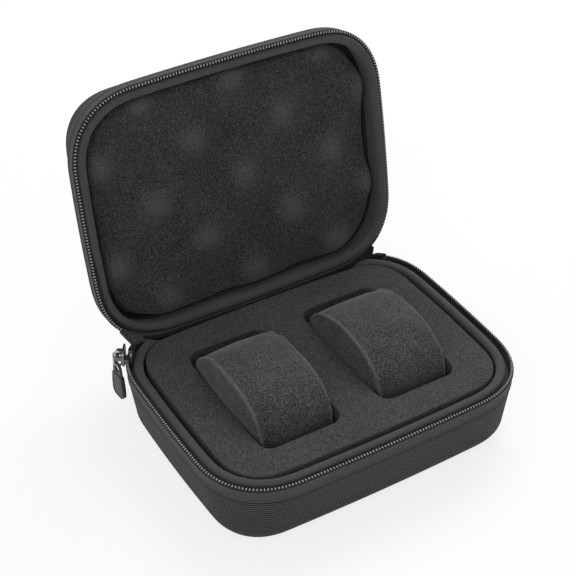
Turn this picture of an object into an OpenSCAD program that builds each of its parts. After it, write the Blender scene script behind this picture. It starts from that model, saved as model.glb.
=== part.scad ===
// Zip-up watch travel case: a moulded clamshell on a cloth hinge, drawn standing open.
// Millimetres. +Z is up, +Y is the hinge side, the origin is the centre of the flat underside.

/* [Case] */
// Length of the zip line, left to right
case_l = 154; // [140:1:190]
// Width of the zip line, front to back
case_w = 118.6; // [108:0.2:150]
// Corner radius of the zip line
corner_r = 33; // [28:0.5:38]
// Squareness of the corners, where 2 is a plain arc
corner_sq = 2.5; // [2.1:0.1:2.9]
// How far each side of the case bows outwards
side_bow = 1.8; // [0.4:0.1:3]
// Height of the base from the floor to the zip line
base_h = 36; // [33:0.5:50]
// Depth of the lid from the zip line to the crown
lid_h = 26; // [24:0.5:40]
// How far the walls lean in between the seam and the edge of the floor
wall_lean = 3.5; // [1:0.25:5]
// Radius of the edge round the floor of the base
base_fillet = 9; // [7:0.5:11]
// Radius of the edge round the crown of the lid
lid_fillet = 12; // [8:0.5:13]
// How much tighter the corners get at the floor and crown
corner_tuck = 5; // [0:0.5:8]

/* [Walls] */
// Thickness of the woven outer fabric
fabric_t = 0.8; // [0.6:0.1:1.2]
// Thickness of the moulded foam shell
shell_t = 2.4; // [2:0.1:3]
// Thickness of the lining
lining_t = 0.6; // [0.4:0.1:0.8]
// Width of the ribbed band round the inside of each rim
band_w = 3.6; // [3:0.1:4.2]
// Depth of that band down the inside of the wall
band_depth = 10; // [8:0.5:12]

/* [Zip] */
// Height of the zip tape from its seam to the coil
tape_h = 6.2; // [5.4:0.1:7]
// Diameter of the zip coil
coil_d = 1.7; // [1.5:0.05:1.8]
// Distance from one tooth of the coil to the next
tooth_pitch = 1.75; // [1.6:0.05:2.4]
// Distance between the two coils when the lid is down and unzipped
zip_gap = 3; // [2.8:0.1:3.4]
// How far in front of the back of the zip line the zip ends
zip_end_in = 9.3; // [8.3:0.25:10.3]

/* [Hinge] */
// Angle that the lid opens to
lid_open = 101.7; // [95:0.1:110]
// Distance of the hinge line in from the back of the zip line
hinge_in = 3.4; // [2.9:0.1:4]
// Room between the folded hinge cloth and the pieces beside it
fold_gap = 0.35; // [0.3:0.05:0.5]
// Thickness of the hinge cloth
hinge_t = 0.6; // [0.4:0.05:0.8]

/* [Insert] */
// Distance from the zip line in to the foam insert
insert_in = 8.2; // [7.8:0.1:9.5]
// Depth of the insert's top below the zip line
insert_drop = 0.5; // [0.2:0.1:1.5]
// Thickness of the pad under the insert
pad_t = 4; // [3:0.5:5]
// Width of each slot
slot_w = 40; // [36:0.5:42]
// Length of each slot, front to back
slot_l = 72.5; // [70:0.5:76]
// Corner radius of each slot
slot_r = 6; // [4:0.5:9]
// Foam between each slot and the side of the insert
slot_wall = 18.5; // [17:0.5:20]

/* [Pillows] */
// Width of each pillow
pillow_w = 38; // [34:0.5:38.5]
// Length of each pillow, front to back
pillow_l = 62; // [58:0.5:63]
// Height of each pillow, before its underside is cut flat
pillow_h = 44.5; // [42:0.5:45.5]
// Thickness of the velvet cover
cover_t = 1.2; // [0.8:0.1:1.6]
// How far the sides of a pillow draw in towards its ends
pillow_round = 5; // [3:0.5:7]

/* [Lid foam] */
// Distance between lumps along a row of the lid foam
lump_x = 46; // [40:1:56]
// Distance between rows of lumps
lump_y = 24.5; // [20:0.5:30]
// Height of the lumps
lump_h = 5; // [3:0.25:6]
// Depth of the highest lumps behind the lid's zip line
lump_drop = 2.5; // [2:0.25:5]

/* [Slider and pull] */
// Length of the slider along the zip
slider_l = 9; // [8:0.25:9.5]
// Height of the slider across the zip
slider_h = 8.4; // [8:0.1:8.8]
// Thickness of the slider's outer plate
plate_t = 0.9; // [0.7:0.05:1.1]
// Thickness of the slider's inner plate
inner_plate_t = 0.7; // [0.5:0.05:0.75]
// Radius of the bar that carries the pull
bar_r = 1; // [0.8:0.05:1.1]
// Radius of the wire of the link
wire_r = 0.55; // [0.45:0.05:0.6]
// Length of the straight sides of the link
link_l = 4.5; // [4:0.25:6]
// Length of the rubber tab
tab_l = 20.5; // [17:0.5:23]
// Width of the rubber tab at its foot
tab_w = 9.5; // [8:0.25:10]
// Thickness of the rubber tab
tab_t = 2.6; // [2:0.1:2.8]
// Thickness of the tab's eye
eye_t = 1.2; // [1:0.05:1.4]
// Radius of the hole in the tab's eye
eye_r = 1.8; // [1.7:0.05:2]

/* [Hidden] */

// The outer face of the case stands this far outside the zip line
skin_o = 0.6;
// Heights, in a half case whose floor or crown lies at 0
coil_top = coil_d / 2;
seam_drop = tape_h + coil_top;
shell_drop = 6.3;
// The lining stops this far short of the band
lining_short = 1;
// Depth of the lining's outer face below the skin, and the gap that a loose piece keeps inside it
lining_w = fabric_t + shell_t;
loose_gap = 0.3;
// Offsets of the faces of the wall, measured outwards from the zip line
shell_o = skin_o - fabric_t;
shell_in_o = shell_o - shell_t;
band_in_o = shell_in_o - band_w;
// The hinge line lies halfway between the two coils, a little above it
zip_end_y = case_w / 2 - zip_end_in;
hinge_y = case_w / 2 - hinge_in;
hinge_z = base_h + zip_gap / 2 + 0.5;
slot_step = case_l - 2 * (insert_in + slot_wall) - slot_w;
// The cloth and the cut that it lies in, measured outwards from the lid's zip line
fold_in_o = skin_o + fold_gap;
fold_out_o = fold_in_o + hinge_t;
corner_n = 10;
side_n = 2;
big = 400;

// One point of a corner of the zip line, t degrees on from the side it starts at
function bowed(p, a, b) =
    let (x = p[0] / a, y = p[1] / b)
    [p[0] + side_bow * sign(x) * pow(abs(x), 4) * (1 - y * y),
     p[1] + side_bow * sign(y) * pow(abs(y), 4) * (1 - x * x)];
function corner_pt(q, t, o, tuck) =
    let (a = case_l / 2 + o,
         b = case_w / 2 + o,
         r = corner_r + o - tuck,
         e = 2 / corner_sq,
         c = r * pow(cos(t), e),
         s = r * pow(sin(t), e),
         u = [cos(90 * q - 90), sin(90 * q - 90)],
         v = [-u[1], u[0]],
         m = [(q < 2 ? 1 : -1) * (a - r), (q == 1 || q == 2 ? 1 : -1) * (b - r)])
    bowed(m + c * u + s * v, a, b);
// A straight stretch between two corners, bowed like the rest
function side_pt(q, f, o, tuck) =
    let (a = case_l / 2 + o,
         b = case_w / 2 + o,
         r = corner_r + o - tuck,
         along = q % 2 == 0 ? b - r : a - r,
         w = -along + 2 * along * f,
         u = [cos(90 * q), sin(90 * q)],
         v = [-u[1], u[0]],
         far = q % 2 == 0 ? a : b)
    bowed(far * u + w * v, a, b);
// The closed outline of the case, o outside the zip line
function outline(o, tuck = 0) =
    [for (q = [0:3])
        each concat([for (i = [0:corner_n]) corner_pt(q, 90 * i / corner_n, o, tuck)],
                    [for (k = [1:side_n]) side_pt(q, k / (side_n + 1), o, tuck)])];

// The two triangles between rings a and b at point i. The cut between them leans the same way
// on a wall that rises and on one that comes down, so walls that share a face match
function strip_faces(a, b, i, n, rises) =
    let (j = (i + 1) % n)
    rises ? [[a + i, b + i, a + j], [a + j, b + i, b + j]]
    : [[a + i, b + i, b + j], [a + i, b + j, a + j]];
// A solid whose skin runs through a list of rings [offset, height, tuck], closed at both ends
module lofted(rings) {
    loops = [for (g = rings) [for (p = outline(g[0], g[2])) [p[0], p[1], g[1]]]];
    n = len(loops[0]);
    last = len(rings) - 1;
    polyhedron(
        points = [for (l = loops) each l],
        faces = concat(
            [[for (i = [0:n - 1]) i]],
            [for (k = [0:last - 1]) for (i = [0:n - 1]) each
                strip_faces(k * n, (k + 1) * n, i, n, rings[k + 1][1] >= rings[k][1])],
            [[for (i = [n - 1:-1:0]) last * n + i]]),
        convexity = 6);
}
// How far a point lies into the stretch at the hinge, where the base's rim is lower: 0 to 1
hinge_inset = 15;
hinge_ease = 12;
function at_hinge(p) =
    let (f = min(1, max(0, (case_l / 2 - hinge_inset - abs(p[0])) / hinge_ease)))
    p[1] > 0 ? f * f * (3 - 2 * f) : 0;
// A ring-shaped solid whose cross-section is a closed list of [offset, height, tuck];
// at the hinge its heights above low draw down by the share dip. A point marked true in
// fourth place is on the leaning wall, and slides down it
module ring_of(section, low = 0, dip = 0) {
    foot = outline(section[0][0], section[0][2]);
    loops = [for (g = section)
        let (c = outline(g[0], g[2]))
        [for (i = [0:len(c) - 1])
            let (s = 1 - dip * at_hinge(c[i]),
                 p = g[3] == true ? foot[i] * (1 - s) + c[i] * s : c[i])
            [p[0], p[1], low + (g[1] - low) * s]]];
    n = len(loops[0]);
    m = len(section);
    polyhedron(
        points = [for (l = loops) each l],
        faces = [for (k = [0:m - 1]) for (i = [0:n - 1]) each
            strip_faces(k * n, ((k + 1) % m) * n, i, n, section[(k + 1) % m][1] >= section[k][1])],
        convexity = 6);
}
// A flat-sided ring between two offsets
module hoop(inner, outer, low, high) {
    translate([0, 0, low])
        linear_extrude(high - low)
            difference() {
                polygon(outline(outer));
                polygon(outline(inner));
            }
}

// The leaning wall at height z, at depth w below its outer face, as [offset, height, tuck]
function wall_at(w, r, z, tall) =
    let (up = min(1, (z - r) / (tall - seam_drop - r)))
    [skin_o - w - wall_lean * (1 - up), z, corner_tuck * (1 - up)];
// The wall's rings at depth w, from the floor's edge up to the height top. The rings at levels
// are where other pieces that lie against this wall end
function wall_rings(w, r, top, tall, levels = []) =
    concat(
        [for (a = [90:-22.5:0])
            [skin_o - wall_lean - r + (r - w) * cos(a), r - (r - w) * sin(a), corner_tuck]],
        [for (z = levels) wall_at(w, r, z, tall)],
        [wall_at(w, r, min(top, tall - seam_drop), tall)],
        top > tall - seam_drop + 0.01 ? [[skin_o - w, top, 0]] : []);
function reversed(list) = [for (i = [len(list) - 1:-1:0]) list[i]];
// A cup between two depths of the wall
module cup(w_out, w_in, r, top, tall, levels = []) {
    lofted(concat(wall_rings(w_out, r, top, tall),
                  reversed(wall_rings(w_in, r, top, tall, levels))));
}

// Places a half case that is drawn crown down, with its zip line at height lid_h, as the open lid
module open_lid() {
    translate([0, hinge_y, hinge_z])
        rotate([-lid_open, 0, 0])
            translate([0, -hinge_y, -hinge_z])
                translate([0, 0, base_h + zip_gap + lid_h])
                    mirror([0, 0, 1])
                        children();
}
// The stretch of the rim that the zip runs along, and the stretch at the hinge
module zip_side() {
    translate([-big / 2, zip_end_y - big, -1])
        cube([big, big, big]);
}
module hinge_side() {
    translate([-big / 2, zip_end_y, -1])
        cube([big, big, big]);
}

// Distance along a path at each of its points
function lengths(p, i = 0, sum = 0, out = [0]) =
    i >= len(p) - 1 ? out
    : let (s = sum + norm(p[i + 1] - p[i])) lengths(p, i + 1, s, concat(out, [s]));
// The point of a path that lies d along it
function along(p, len_at, d, k = 0) =
    len_at[k + 1] >= d || k + 2 >= len(p) ?
        p[k] + (p[k + 1] - p[k]) * (d - len_at[k]) / (len_at[k + 1] - len_at[k])
    : along(p, len_at, d, k + 1);
// The open path of the zip, from its left end round the front to its right end
zip_path =
    let (c = outline(0),
         n = len(c),
         start = 2 * (corner_n + 1 + side_n) + 1,
         turn = [for (i = [0:n - 1]) c[(start + i) % n]])
    [for (p = turn) if (p[1] < zip_end_y) p];
zip_len_at = lengths(zip_path);
zip_len = zip_len_at[len(zip_len_at) - 1];
tooth_count = floor(zip_len / tooth_pitch);
// One row of the coil as a toothed strip, its teeth square to the tape
module coil_row() {
    core_w = 0.5;
    tooth_share = 0.55;
    tooth_w = tooth_pitch * tooth_share;
    step = zip_len / tooth_count;
    mids = [for (i = [0:tooth_count]) along(zip_path, zip_len_at, i * step)];
    edge = function (side)
        [for (i = [0:tooth_count - 1])
            let (d = (mids[i + 1] - mids[i]) / step,
                 out = [d[1], -d[0]] * side,
                 m = (mids[i + 1] + mids[i]) / 2)
            each [m - d * tooth_w / 2 + out * core_w, m - d * tooth_w / 2 + out * coil_d / 2,
                  m + d * tooth_w / 2 + out * coil_d / 2, m + d * tooth_w / 2 + out * core_w]];
    linear_extrude(coil_d)
        polygon(concat(edge(1), reversed(edge(-1))));
}

// Shared pieces of a half case, drawn with the floor or crown at 0 and the zip line at tall
module shell_half(r, tall) {
    band_low = tall - band_depth;
    cup(fabric_t, fabric_t + shell_t, r, tall - shell_drop, tall,
        [band_low - lining_short, band_low]);
}
module fabric_half(r, tall) {
    cup(0, fabric_t, r, tall - seam_drop, tall);
}
module lining_half(r, tall) {
    cup(lining_w, lining_w + lining_t, r, tall - band_depth - lining_short, tall);
}
module tape_ring(tall) {
    hoop(shell_o, skin_o, tall - seam_drop, tall - coil_top);
}
// Band with a rounded top edge, its outer face lying against the shell
band_round = 1.6;
module band_ring(r, tall, dip = 0) {
    mid = (shell_in_o + band_in_o) / 2;
    section = concat(
        [wall_at(lining_w, r, tall - band_depth, tall),
         concat(wall_at(lining_w, r, tall - seam_drop, tall), [true])],
        [for (a = [0:45:180])
            [mid + band_w / 2 * cos(a), tall - band_round + band_round * sin(a), 0]],
        [[band_in_o, tall - band_depth, 0]]);
    ring_of(section, tall - band_depth, dip);
}

module base_shell() {
    color([0.13, 0.13, 0.13])
        shell_half(base_fillet, base_h);
}
module base_fabric() {
    color([0.24, 0.24, 0.235])
        fabric_half(base_fillet, base_h);
}
module base_lining() {
    color([0.18, 0.18, 0.18])
        lining_half(base_fillet, base_h);
}
module base_zip_tape() {
    color([0.29, 0.29, 0.285])
        intersection() {
            tape_ring(base_h);
            zip_side();
        }
}
module base_zip_coil() {
    color([0.5, 0.49, 0.48])
        translate([0, 0, base_h - coil_top])
            coil_row();
}
module base_rim_band() {
    color([0.3, 0.3, 0.3])
        band_ring(base_fillet, base_h, band_dip);
}
// Cloth that carries on from the zip tape along the base's back edge, low enough for the lid
band_dip = 0.6;
strip_dip = 0.93;
module hinge_strip() {
    top = base_h - coil_top;
    low = base_h - seam_drop;
    color([0.2, 0.2, 0.2])
        intersection() {
            ring_of([[skin_o, low, 0], [skin_o, top, 0], [shell_o, top, 0], [shell_o, low, 0]],
                    low, strip_dip);
            hinge_side();
        }
}
// The fold of that cloth, which lies in the gap under and in front of the open lid's back edge
fold_n = 16;
fold_x = case_l / 2 - hinge_inset - 6;
fold_rest = 0.1;
function back_y(x, o) = lookup(x, [for (p = outline(o)) if (p[1] > 0) p]);
// A point y from the middle of the lid and d behind the hinge line, on the open lid
function on_lid(x, y, d) =
    [x,
     hinge_y + (y - hinge_y) * cos(lid_open) + d * sin(lid_open),
     hinge_z - (y - hinge_y) * sin(lid_open) + d * cos(lid_open)];
// How far behind the hinge line the back edge of the lid, at y, lies over the skin of the base
function depth_at(x, y) =
    (back_y(x, skin_o) + fold_rest - hinge_y - (y - hinge_y) * cos(lid_open)) / sin(lid_open);
module hinge_fold() {
    front = base_h + zip_gap - coil_top - fold_gap - hinge_z;
    start = hinge_y + 0.2;
    loops = [for (i = [0:fold_n])
        let (x = -fold_x + 2 * fold_x * i / fold_n,
             inner = back_y(x, fold_in_o),
             outer = back_y(x, fold_out_o))
        [on_lid(x, start, front - hinge_t), on_lid(x, outer, front - hinge_t),
         on_lid(x, outer, depth_at(x, outer)), on_lid(x, inner, depth_at(x, inner)),
         on_lid(x, inner, front), on_lid(x, start, front)]];
    n = len(loops[0]);
    ends = [[0, 1, 4, 5], [1, 2, 3, 4]];
    color([0.2, 0.2, 0.2])
        polyhedron(
            points = [for (l = loops) each l],
            faces = concat(
                ends,
                [for (k = [0:fold_n - 1]) for (i = [0:n - 1]) each
                    strip_faces(k * n, (k + 1) * n, i, n, true)],
                [for (f = ends) [for (i = reversed(f)) fold_n * n + i]]),
            convexity = 6);
}
// Cloth web at a corner of the hinge, which draws tight and stops the open lid
gusset_h = 6.4;
gusset_t = 0.6;
module gusset(side) {
    low = base_h + fold_gap;
    front = zip_end_y + 1.4;
    back = hinge_y - 0.9;
    tip = hinge_y + 0.3;
    color([0.36, 0.36, 0.355])
        intersection() {
            hoop(-0.5, gusset_t - 0.5, low, low + 2 * gusset_h);
            translate([side < 0 ? -big : 0, 0, 0])
                cube([big, big, big]);
            rotate([90, 0, 90])
                translate([0, 0, -big / 2])
                    linear_extrude(big)
                        polygon([[front, low], [back, low], [tip, low + gusset_h]]);
        }
}
// Folded cloth that wraps the tape at each end of the zip
wrap_t = 0.6;
wrap_l = 3.2;
wrap_drop = 5;
module zip_end_tab(side) {
    top = base_h + 0.3;
    color([0.16, 0.16, 0.16])
        intersection() {
            union() {
                hoop(skin_o, skin_o + wrap_t, base_h - wrap_drop, top);
                hoop(shell_o - wrap_t, shell_o, base_h - shell_drop + 0.5, top);
                hoop(shell_o - 0.1, skin_o + 0.1, base_h - coil_top, top);
            }
            translate([side < 0 ? -big : 0, zip_end_y + 1.2, 0])
                cube([big, wrap_l, big]);
        }
}
module gusset_left() { gusset(-1); }
module gusset_right() { gusset(1); }
module zip_end_tab_left() { zip_end_tab(-1); }
module zip_end_tab_right() { zip_end_tab(1); }

// The tray: a foam block with two slots, on a pad that covers the floor
tray_y = -1;
floor_z = lining_w + lining_t;
pad_top = floor_z + pad_t;
insert_top = base_h - insert_drop;
module slot(x) {
    translate([x, tray_y, 0])
        union() {
            square([slot_w, slot_l - 2 * slot_r], center = true);
            square([slot_w - 2 * slot_r, slot_l], center = true);
            for (i = [-1, 1], j = [-1, 1])
                translate([i * (slot_w / 2 - slot_r), j * (slot_l / 2 - slot_r)])
                    circle(slot_r, $fn = 32);
        }
}
module foam_insert() {
    color([0.27, 0.27, 0.265])
        translate([0, 0, pad_top])
            linear_extrude(insert_top - pad_top)
                difference() {
                    polygon(outline(-insert_in, corner_tuck + 1));
                    slot(-slot_step / 2);
                    slot(slot_step / 2);
                }
}
module insert_floor_pad() {
    color([0.17, 0.17, 0.17])
        translate([0, 0, floor_z])
            linear_extrude(pad_t)
                polygon(outline(skin_o - wall_lean - base_fillet - loose_gap, corner_tuck));
}

// A stuffed roll: an oval section that is largest in the middle and draws in at the ends
pillow_gap = loose_gap;
pillow_flat = 2.4;
pillow_swell = 0.5;
section_n = 28;
function section(ry, rz) =
    let (e = 0.87)
    [for (i = [0:section_n - 1])
        let (t = 360 * i / section_n,
             c = cos(t),
             s = sin(t))
        [ry * sign(c) * pow(abs(c), e), rz * sign(s) * pow(abs(s), e)]];
module roll(d) {
    half = pillow_w / 2 - d;
    ends = [for (a = [0:30:90])
        [half - pillow_round * (1 - sin(a)), pillow_swell + pillow_round * (1 - cos(a))]];
    stations = concat([for (g = reversed(ends)) [-g[0], g[1]]], [[0, 0]], ends);
    loops = [for (g = stations)
        [for (p = section(pillow_l / 2 - d - g[1], pillow_h / 2 - d - g[1]))
            [g[0], p[0], p[1]]]];
    n = section_n;
    last = len(stations) - 1;
    polyhedron(
        points = [for (l = loops) each l],
        faces = concat(
            [[for (i = [0:n - 1]) i]],
            [for (k = [0:last - 1]) for (i = [0:n - 1]) each
                [[k * n + i, (k + 1) * n + i, k * n + (i + 1) % n],
                 [k * n + (i + 1) % n, (k + 1) * n + i, (k + 1) * n + (i + 1) % n]]],
            [[for (i = [n - 1:-1:0]) last * n + i]]),
        convexity = 4);
}
// The roll with its underside cut flat, d inside the cover's face; the cover is open below
module pillow_body(x, d) {
    low = pad_top + pillow_gap;
    intersection() {
        translate([x, tray_y, low + pillow_h / 2 - pillow_flat])
            roll(d);
        translate([-big / 2, -big / 2, low])
            cube([big, big, big]);
    }
}
module pillow_cover(x) {
    color([0.2, 0.2, 0.2])
        difference() {
            pillow_body(x, 0);
            pillow_body(x, cover_t);
        }
}
module pillow_core(x) {
    color([0.6, 0.6, 0.58])
        pillow_body(x, cover_t);
}
module pillow_left_cover() { pillow_cover(-slot_step / 2); }
module pillow_left_core() { pillow_core(-slot_step / 2); }
module pillow_right_cover() { pillow_cover(slot_step / 2); }
module pillow_right_core() { pillow_core(slot_step / 2); }

module lid_shell() {
    color([0.13, 0.13, 0.13])
        open_lid()
            shell_half(lid_fillet, lid_h);
}
module lid_fabric() {
    color([0.24, 0.24, 0.235])
        open_lid()
            fabric_half(lid_fillet, lid_h);
}
module lid_lining() {
    color([0.18, 0.18, 0.18])
        open_lid()
            lining_half(lid_fillet, lid_h);
}
module lid_zip_tape() {
    color([0.29, 0.29, 0.285])
        open_lid()
            intersection() {
                tape_ring(lid_h);
                zip_side();
            }
}
module lid_zip_coil() {
    color([0.5, 0.49, 0.48])
        open_lid()
            translate([0, 0, lid_h - coil_top])
                coil_row();
}
module lid_rim_band() {
    color([0.3, 0.3, 0.3])
        open_lid()
            band_ring(lid_fillet, lid_h);
}
module lid_hinge_strip() {
    color([0.2, 0.2, 0.2])
        open_lid()
            intersection() {
                tape_ring(lid_h);
                hinge_side();
            }
}
// Convoluted foam: a block that fills the lid, topped by a grid of staggered lumps
lump_cols = 28;
lump_rows = 26;
lump_mid = [3, -3];
function lump(x, y) =
    let (f = cos(360 * (x - lump_mid[0]) / lump_x) * cos(180 * (y - lump_mid[1]) / lump_y))
    lump_h * (f > 0 ? pow(f, 1.3) : 0.3 * f);
module lump_field(low) {
    dx = case_l / lump_cols;
    dy = case_w / lump_rows;
    row = lump_cols + 1;
    base = row * (lump_rows + 1);
    points = [for (j = [0:lump_rows]) for (i = [0:lump_cols])
        let (x = -case_l / 2 + i * dx,
             y = -case_w / 2 + j * dy)
        [x, y, low + lump(x, y)]];
    corners = [for (c = [[-1, -1], [1, -1], [1, 1], [-1, 1]])
        [c[0] * case_l / 2, c[1] * case_w / 2, -1]];
    front = [for (i = [0:lump_cols]) i];
    right = [for (j = [0:lump_rows]) j * row + lump_cols];
    back = [for (i = [lump_cols:-1:0]) lump_rows * row + i];
    left = [for (j = [lump_rows:-1:0]) j * row];
    polyhedron(
        points = concat(points, corners),
        faces = concat(
            [for (j = [0:lump_rows - 1]) for (i = [0:lump_cols - 1]) each
                [[j * row + i, (j + 1) * row + i, j * row + i + 1],
                 [j * row + i + 1, (j + 1) * row + i, (j + 1) * row + i + 1]]],
            [concat(front, [base + 1, base]), concat(right, [base + 2, base + 1]),
             concat(back, [base + 3, base + 2]), concat(left, [base, base + 3])],
            [[base, base + 1, base + 2, base + 3]]),
        convexity = 8);
}
module egg_crate_pad() {
    w = lining_w + lining_t + loose_gap;
    curve = [for (g = wall_rings(w, lid_fillet, lid_h, lid_h)) if (g[1] <= lid_fillet) g];
    side_o = band_in_o - loose_gap;
    band_low = lid_h - band_depth - loose_gap;
    color([0.17, 0.17, 0.17])
        open_lid()
            intersection() {
                lofted(concat(curve, [[side_o, band_low, 0], [side_o, lid_h, 0]]));
                lump_field(lid_h - lump_drop - lump_h);
            }
}

// Where the slider is parked, and the arc that it follows round the corner from there
slide_start = corner_pt(2, 57, 0, 0);
slide_mid = corner_pt(2, 67.5, 0, 0);
slide_end = corner_pt(2, 78, 0, 0);
function circle_middle(a, b, c) =
    let (d = 2 * (a[0] * (b[1] - c[1]) + b[0] * (c[1] - a[1]) + c[0] * (a[1] - b[1])),
         aa = a * a,
         bb = b * b,
         cc = c * c)
    [(aa * (b[1] - c[1]) + bb * (c[1] - a[1]) + cc * (a[1] - b[1])) / d,
     (aa * (c[0] - b[0]) + bb * (a[0] - c[0]) + cc * (b[0] - a[0])) / d];
slide_pivot = circle_middle(slide_start, slide_mid, slide_end);
function heading(p) = let (v = p - slide_pivot) atan2(v[1], v[0]);
slide_heading = heading(slide_start);
slide_turn = (heading(slide_end) - slide_heading + 360) % 360;
slider_z = base_h + zip_gap / 2;
// In the slider's own frame +X points out of the case, +Y along the zip and +Z up
channel = 1.5;
outer_face = channel + plate_t;
wire_gap = 0.25;
link_r = bar_r + wire_r + wire_gap;
bar_x = outer_face + wire_gap + wire_r + link_r;
bar_l = 6.8;
foot_w = 1.3;
tab_yaw = 30;
eye_drop = eye_r - wire_r - wire_gap;
module at_slider() {
    translate([slide_start[0], slide_start[1], slider_z])
        rotate([0, 0, slide_heading])
            children();
}
// A plate of the slider: wide where the two rows come in, narrow where they leave
module slider_plate(from, thick) {
    h = slider_h / 2;
    l = slider_l / 2;
    translate([from, 0, 0])
        rotate([90, 0, 90])
            linear_extrude(thick)
                polygon([[-l, 0.72 * h], [-l + 1.2, 0.86 * h], [0, 0.9 * h], [l - 2.2, h],
                         [l - 0.8, 0.93 * h], [l, 0.7 * h], [l, -0.7 * h],
                         [l - 0.8, -0.93 * h], [l - 2.2, -h], [0, -0.9 * h],
                         [-l + 1.2, -0.86 * h], [-l, -0.72 * h]]);
}
module slider_body() {
    l = slider_l / 2;
    h = slider_h / 2;
    sunk = 0.1;
    wedge_h = 0.45;
    lip_t = 0.6;
    lip_h = 0.8;
    color([0.35, 0.35, 0.36])
        at_slider()
            union() {
                slider_plate(channel, plate_t);
                slider_plate(-channel - inner_plate_t, inner_plate_t);
                // The wedge that parts the two rows
                translate([-channel - sunk, 0, 0])
                    rotate([90, 0, 90])
                        linear_extrude(2 * (channel + sunk))
                            polygon([[0.2, 0], [1.6, wedge_h], [l - 0.2, wedge_h],
                                     [l - 0.2, -wedge_h], [1.6, -wedge_h]]);
                // Flanges that keep the lower row in its channel
                for (s = [-1, 1])
                    translate([s * (channel - 0.2) - lip_t / 2, -l + 1.2, -0.86 * h])
                        cube([lip_t, slider_l - 3.4, lip_h]);
                // The bar and its two feet
                translate([bar_x, 0, 0])
                    rotate([90, 0, 0])
                        cylinder(r = bar_r, h = bar_l, center = true, $fn = 32);
                for (s = [-1, 1])
                    translate([outer_face - sunk, s * (bar_l - foot_w) / 2 - foot_w / 2, -bar_r])
                        cube([bar_x - outer_face + sunk, foot_w, 2 * bar_r]);
            }
}
// Closed wire loop that hangs on the bar
module pull_link() {
    color([0.42, 0.42, 0.43])
        at_slider()
            translate([bar_x, 0, 0])
                union() {
                    rotate([90, 0, 0])
                        rotate_extrude(angle = 180, $fn = 32)
                            translate([link_r, 0])
                                circle(wire_r, $fn = 16);
                    translate([0, 0, -link_l])
                        rotate([-90, 0, 0])
                            rotate_extrude(angle = 180, $fn = 32)
                                translate([link_r, 0])
                                    circle(wire_r, $fn = 16);
                    for (s = [-1, 1])
                        translate([s * link_r, 0, -link_l])
                            cylinder(r = wire_r, h = link_l, $fn = 16);
                }
}
module at_tab() {
    at_slider()
        translate([bar_x, 0, -link_l - link_r])
            rotate([0, 0, tab_yaw])
                children();
}
// Flat outline of the tab: a round eye above a body that widens to a rounded foot
module tab_outline(inset, eye) {
    rim = 1.6;
    top_r = eye_r + rim - inset;
    foot_r = 3;
    foot_z = eye_r + rim - eye_drop - tab_l;
    waist_z = -eye_drop - 4.5;
    hw = tab_w / 2 - inset;
    if (eye)
        translate([0, -eye_drop])
            circle(top_r, $fn = 32);
    polygon([[-top_r, eye ? -eye_drop : waist_z], [-hw, foot_z + foot_r + 4],
             [-hw, foot_z + foot_r], [-hw + foot_r - inset, foot_z + inset],
             [hw - foot_r + inset, foot_z + inset], [hw, foot_z + foot_r],
             [hw, foot_z + foot_r + 4], [top_r, eye ? -eye_drop : waist_z]]);
    for (s = [-1, 1])
        translate([s * (hw - foot_r + inset), foot_z + foot_r])
            circle(foot_r - inset, $fn = 32);
}
module pull_tab() {
    color([0.3, 0.3, 0.3])
        at_tab()
            difference() {
                union() {
                    translate([-eye_t / 2, 0, 0])
                        rotate([90, 0, 90])
                            linear_extrude(eye_t)
                                tab_outline(0, true);
                    translate([-tab_t / 2, 0, 0])
                        rotate([90, 0, 90])
                            linear_extrude(tab_t)
                                tab_outline(0.4, false);
                }
                translate([-big / 2, 0, -eye_drop])
                    rotate([0, 90, 0])
                        cylinder(r = eye_r, h = big, $fn = 32);
                for (s = [0, 1])
                    mirror([s, 0, 0])
                        translate([0, 0, -eye_drop])
                            rotate([0, 90, 0])
                                cylinder(r1 = eye_r, r2 = eye_r + eye_t / 2, h = eye_t, $fn = 32);
            }
}

base_shell();
base_fabric();
base_lining();
base_zip_tape();
base_zip_coil();
base_rim_band();
hinge_strip();
hinge_fold();
gusset_left();
gusset_right();
zip_end_tab_left();
zip_end_tab_right();
foam_insert();
insert_floor_pad();
pillow_left_cover();
pillow_left_core();
pillow_right_cover();
pillow_right_core();
lid_shell();
lid_fabric();
lid_lining();
lid_zip_tape();
lid_zip_coil();
lid_rim_band();
lid_hinge_strip();
egg_crate_pad();
slider_body();
pull_link();
pull_tab();
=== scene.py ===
# %% [markdown]
# # A zip-up watch travel case
# The case is a moulded clamshell. Each half is a shell of pressed foam under a woven cloth, with a
# strip of ribbed tape round its rim, a row of zip teeth on the tape and a soft rolled band inside.
# This script dresses the imported CAD model: it keeps the joints and the hard small parts, and makes
# most cloth, foam and velvet surfaces afresh from the same sizes; the zip's end tabs and the pressed
# shells are the CAD's own, with new finishes.

# %% Tools, and the imported model as a fixed frame
import math

import bmesh
import bpy
import numpy as np
from mathutils import Matrix, Vector, kdtree, noise


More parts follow.
